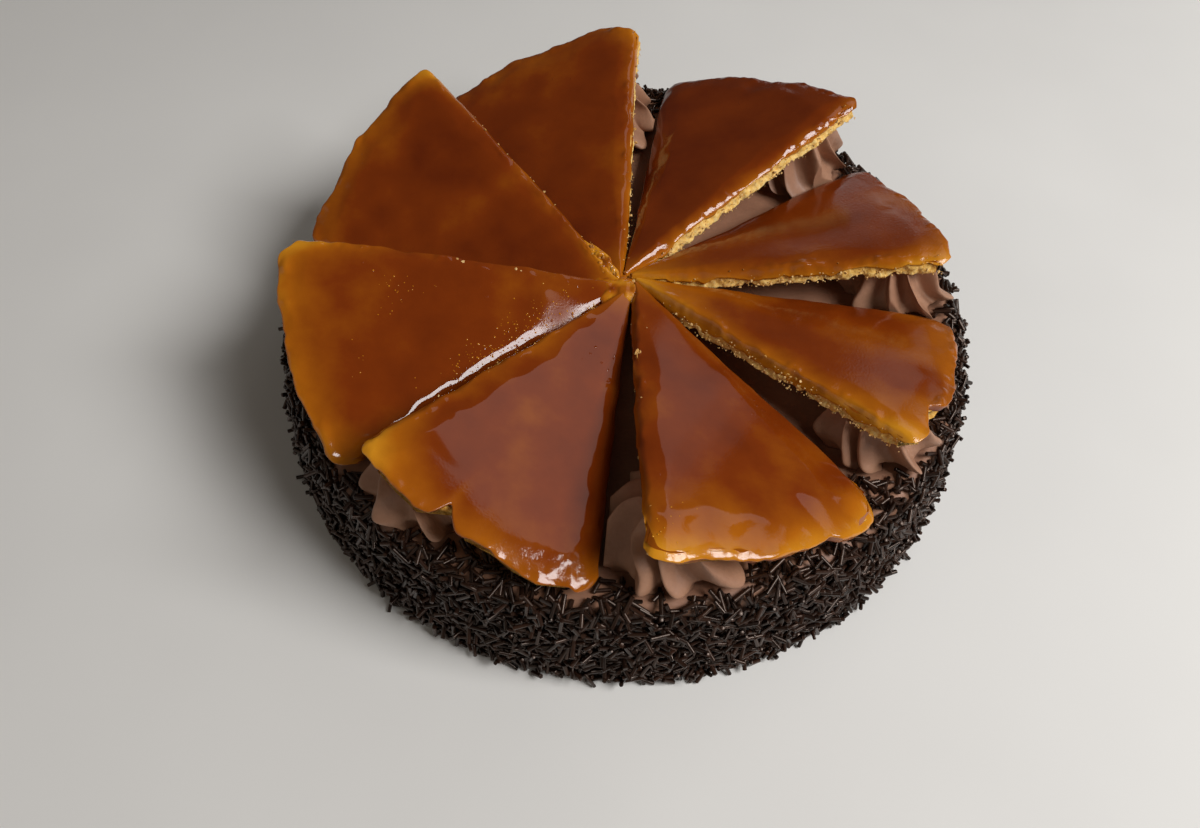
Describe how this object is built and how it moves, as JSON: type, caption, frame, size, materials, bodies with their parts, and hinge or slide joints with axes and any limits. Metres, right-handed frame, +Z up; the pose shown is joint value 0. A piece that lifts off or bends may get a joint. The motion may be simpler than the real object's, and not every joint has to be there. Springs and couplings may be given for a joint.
{
  "type": "dobos torte",
  "caption": "Round chocolate buttercream torte with vermicelli on its side, crowned by a pinwheel of tilted caramel-glazed sponge slices on piped rosettes.",
  "frame": {"origin": "centre of the flat base of the cake, on the surface it rests on", "axes": "+Z up, +Y to the far side of the cake as the picture shows it, +X to the right"},
  "size_m": [0.2413, 0.2399, 0.0748],
  "materials": {
    "buttercream": "satin chocolate buttercream",
    "rosette_cream": "satin piped chocolate buttercream",
    "sponge": "dry porous sponge crumb",
    "caramel": "clear glossy hard caramel",
    "vermicelli": "satin dark chocolate strands"
  },
  "bodies": {
    "root": {"cake_body": "buttercream", "rosette_1": "rosette_cream", "rosette_2": "rosette_cream", "rosette_3": "rosette_cream", "rosette_4": "rosette_cream", "rosette_5": "rosette_cream", "rosette_6": "rosette_cream", "rosette_7": "rosette_cream", "rosette_8": "rosette_cream", "sponge_1": "sponge", "sponge_2": "sponge", "sponge_3": "sponge", "sponge_4": "sponge", "sponge_5": "sponge", "sponge_6": "sponge", "sponge_7": "sponge", "sponge_8": "sponge", "caramel_1": "caramel", "caramel_2": "caramel", "caramel_3": "caramel", "caramel_4": "caramel", "caramel_5": "caramel", "caramel_6": "caramel", "caramel_7": "caramel", "caramel_8": "caramel"}
  },
  "joints": []
}
